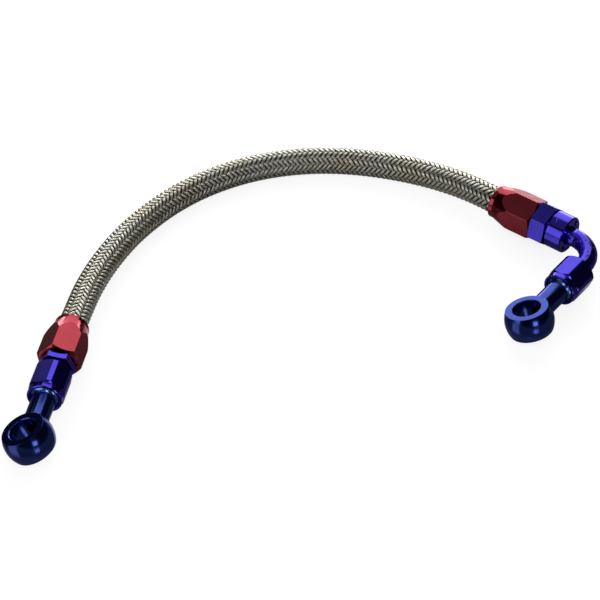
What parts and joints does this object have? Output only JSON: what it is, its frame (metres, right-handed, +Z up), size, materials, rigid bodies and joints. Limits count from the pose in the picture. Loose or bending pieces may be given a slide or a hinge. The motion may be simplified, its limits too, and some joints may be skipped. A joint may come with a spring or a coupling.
{
  "type": "fuel line",
  "caption": "Braided fuel hose with red and blue threaded hose ends, a straight end and a swivel elbow end, each with a banjo eye for a hollow bolt.",
  "frame": {"origin": "centre of the fittings' box, on the surface that the line lies on", "axes": "+Z up as it lies; +X from the straight end towards the elbow end; the hose's arc bulges towards +Y"},
  "size_m": [0.2891, 0.2266, 0.0226],
  "materials": {
    "braid": "woven stainless wire, satin",
    "hose_rubber": "matte black rubber",
    "seal_rubber": "satin black rubber",
    "red_anodised": "bright red anodised",
    "blue_anodised": "bright blue anodised",
    "navy_anodised": "bright dark blue anodised",
    "steel": "plain bright steel"
  },
  "bodies": {
    "line": {"hose_braid": "braid", "hose_liner": "hose_rubber", "left_socket": "red_anodised", "left_nipple": "blue_anodised", "left_nut": "blue_anodised", "left_nut_wire": "steel", "left_banjo": "navy_anodised", "right_socket": "red_anodised", "right_nipple": "blue_anodised", "swivel_collar": "blue_anodised"},
    "elbow": {"elbow_tube": "blue_anodised", "rear_o_ring": "seal_rubber", "front_o_ring": "seal_rubber", "flare_sleeve": "steel", "right_nut": "blue_anodised", "right_banjo": "navy_anodised"}
  },
  "joints": [
    {"name": "elbow_swivel", "type": "hinge", "parent": "line", "child": "elbow", "pos_m": [0.0961, 0.0878, 0.01132], "axis": [0.7944, -0.6074, 0], "continuous": true}
  ]
}
